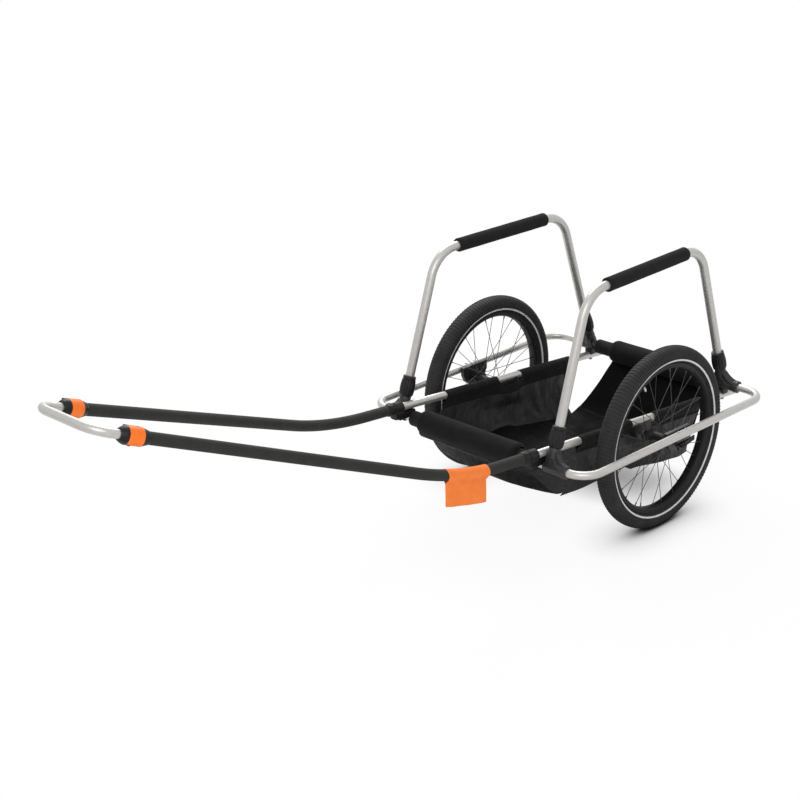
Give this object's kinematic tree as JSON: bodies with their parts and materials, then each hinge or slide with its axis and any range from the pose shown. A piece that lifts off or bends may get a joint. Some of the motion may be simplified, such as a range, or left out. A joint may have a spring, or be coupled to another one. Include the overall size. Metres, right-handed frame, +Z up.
{
  "type": "two-wheeled hand and bicycle trailer",
  "caption": "Cargo trailer with a U handle on bent poles, padded hoops, wheel guards and a black cloth bag slung between its rails.",
  "frame": {"origin": "middle of the footprint, on the ground under the tyres", "axes": "+Z up, -Y towards the handle (front), +X to the trailer's left"},
  "size_m": [0.7862, 2.1248, 0.7423],
  "materials": {
    "aluminium_tube": "satin",
    "black_plastic": "moulded, matt",
    "foam": "soft foam, matt",
    "bag_cloth": "woven, matt",
    "orange_cloth": "woven, matt",
    "sleeve": "matt",
    "tyre": "matt",
    "black_metal": "satin black",
    "steel": "bright",
    "brass": "bright",
    "orange_plastic": "moulded, satin"
  },
  "bodies": {
    "frame": {"bag": "bag_cloth", "front_crossbar": "aluminium_tube", "front_foam": "foam", "left_axle": "steel", "left_axle_nut": "steel", "left_front_corner": "black_plastic", "left_grip": "foam", "left_hoop": "aluminium_tube", "left_inner_bracket": "black_plastic", "left_outer_bracket": "black_plastic", "left_rail": "aluminium_tube", "left_rear_corner": "black_plastic", "left_rear_saddle": "black_plastic", "left_saddle_bolt": "steel", "left_side_loop": "aluminium_tube", "left_tee": "black_plastic", "rear_crossbar": "aluminium_tube", "rear_foam": "foam", "right_axle": "steel", "right_axle_nut": "steel", "right_front_corner": "black_plastic", "right_grip": "foam", "right_hoop": "aluminium_tube", "right_inner_bracket": "black_plastic", "right_outer_bracket": "black_plastic", "right_rail": "aluminium_tube", "right_rear_corner": "black_plastic", "right_rear_saddle": "black_plastic", "right_saddle_bolt": "steel", "right_side_loop": "aluminium_tube", "right_tee": "black_plastic"},
    "left_wheel": {"left_tyre": "tyre", "left_rim": "black_metal", "left_hub": "black_metal", "left_valve": "brass"},
    "left_drawbar": {"left_pole": "aluminium_tube", "left_pole_sleeve": "sleeve", "left_clamp": "black_plastic", "tag": "orange_cloth"},
    "left_clamp_lever": {"left_clamp_lever": "orange_plastic"},
    "left_quick_lever": {"left_quick_lever": "black_metal"},
    "left_front_hoop_nut": {"left_front_hoop_nut": "black_plastic"},
    "left_rear_hoop_nut": {"left_rear_hoop_nut": "black_plastic"},
    "left_pole_lock_nut": {"left_pole_lock_nut": "black_plastic"},
    "right_wheel": {"right_tyre": "tyre", "right_rim": "black_metal", "right_hub": "black_metal", "right_valve": "brass"},
    "right_drawbar": {"right_pole": "aluminium_tube", "right_pole_sleeve": "sleeve", "right_clamp": "black_plastic"},
    "right_clamp_lever": {"right_clamp_lever": "orange_plastic"},
    "right_quick_lever": {"right_quick_lever": "black_metal"},
    "right_front_hoop_nut": {"right_front_hoop_nut": "black_plastic"},
    "right_rear_hoop_nut": {"right_rear_hoop_nut": "black_plastic"},
    "right_pole_lock_nut": {"right_pole_lock_nut": "black_plastic"},
    "handle": {"handle": "aluminium_tube"}
  },
  "joints": [
    {"name": "left_wheel_spin", "type": "hinge", "parent": "frame", "child": "left_wheel", "pos_m": [0.31, 0.6265, 0.254], "axis": [1, 0, 0], "continuous": true},
    {"name": "left_drawbar_flex", "type": "hinge", "parent": "frame", "child": "left_drawbar", "pos_m": [0.24, 0.1605, 0.32224], "axis": [0, 0.3719, 0.9283], "range_deg": [0, 0.8]},
    {"name": "left_clamp_lever_hinge", "type": "hinge", "parent": "left_drawbar", "child": "left_clamp_lever", "pos_m": [0.10442, -0.94464, 0.70656], "axis": [-0.1291, -0.9205, 0.3688], "range_deg": [0, 100]},
    {"name": "left_quick_lever_hinge", "type": "hinge", "parent": "frame", "child": "left_quick_lever", "pos_m": [0.3823, 0.6265, 0.254], "axis": [0, 0.0698, -0.9976], "range_deg": [0, 150]},
    {"name": "left_front_hoop_nut_turn", "type": "hinge", "parent": "frame", "child": "left_front_hoop_nut", "pos_m": [0.2675, 0.2265, 0.2832], "axis": [-0.0113, 0.3064, 0.9518], "range_deg": [0, 180]},
    {"name": "left_rear_hoop_nut_turn", "type": "hinge", "parent": "frame", "child": "left_rear_hoop_nut", "pos_m": [0.2387, 1.0085, 0.2832], "axis": [0.0115, -0.3124, 0.9499], "range_deg": [0, 180]},
    {"name": "left_pole_lock_nut_turn", "type": "hinge", "parent": "frame", "child": "left_pole_lock_nut", "pos_m": [0.24, 0.1565, 0.32258], "axis": [0, -0.9964, 0.0851], "range_deg": [0, 180]},
    {"name": "right_wheel_spin", "type": "hinge", "parent": "frame", "child": "right_wheel", "pos_m": [-0.31, 0.6265, 0.254], "axis": [1, 0, 0], "continuous": true},
    {"name": "right_drawbar_flex", "type": "hinge", "parent": "frame", "child": "right_drawbar", "pos_m": [-0.24, 0.1605, 0.32224], "axis": [0, -0.3719, -0.9283], "range_deg": [0, 0.8]},
    {"name": "right_clamp_lever_hinge", "type": "hinge", "parent": "right_drawbar", "child": "right_clamp_lever", "pos_m": [-0.13292, -0.94864, 0.70656], "axis": [0.1291, -0.9205, 0.3688], "range_deg": [0, 100]},
    {"name": "right_quick_lever_hinge", "type": "hinge", "parent": "frame", "child": "right_quick_lever", "pos_m": [-0.3823, 0.6265, 0.254], "axis": [0, -0.0698, 0.9976], "range_deg": [0, 150]},
    {"name": "right_front_hoop_nut_turn", "type": "hinge", "parent": "frame", "child": "right_front_hoop_nut", "pos_m": [-0.2675, 0.2265, 0.2832], "axis": [0.0113, 0.3064, 0.9518], "range_deg": [0, 180]},
    {"name": "right_rear_hoop_nut_turn", "type": "hinge", "parent": "frame", "child": "right_rear_hoop_nut", "pos_m": [-0.2387, 1.0085, 0.2832], "axis": [-0.0115, -0.3124, 0.9499], "range_deg": [0, 180]},
    {"name": "right_pole_lock_nut_turn", "type": "hinge", "parent": "frame", "child": "right_pole_lock_nut", "pos_m": [-0.24, 0.1565, 0.32258], "axis": [0, -0.9964, 0.0851], "range_deg": [0, 180]},
    {"name": "handle_slide", "type": "slide", "parent": "frame", "child": "handle", "axis": [0, -0.9283, 0.3719], "range_m": [0, 0.12]}
  ],
  "couplings": [
    {"joint": "left_drawbar_flex", "follows": "handle_slide", "rad_per_m": 0.112},
    {"joint": "right_drawbar_flex", "follows": "handle_slide", "rad_per_m": 0.112}
  ]
}
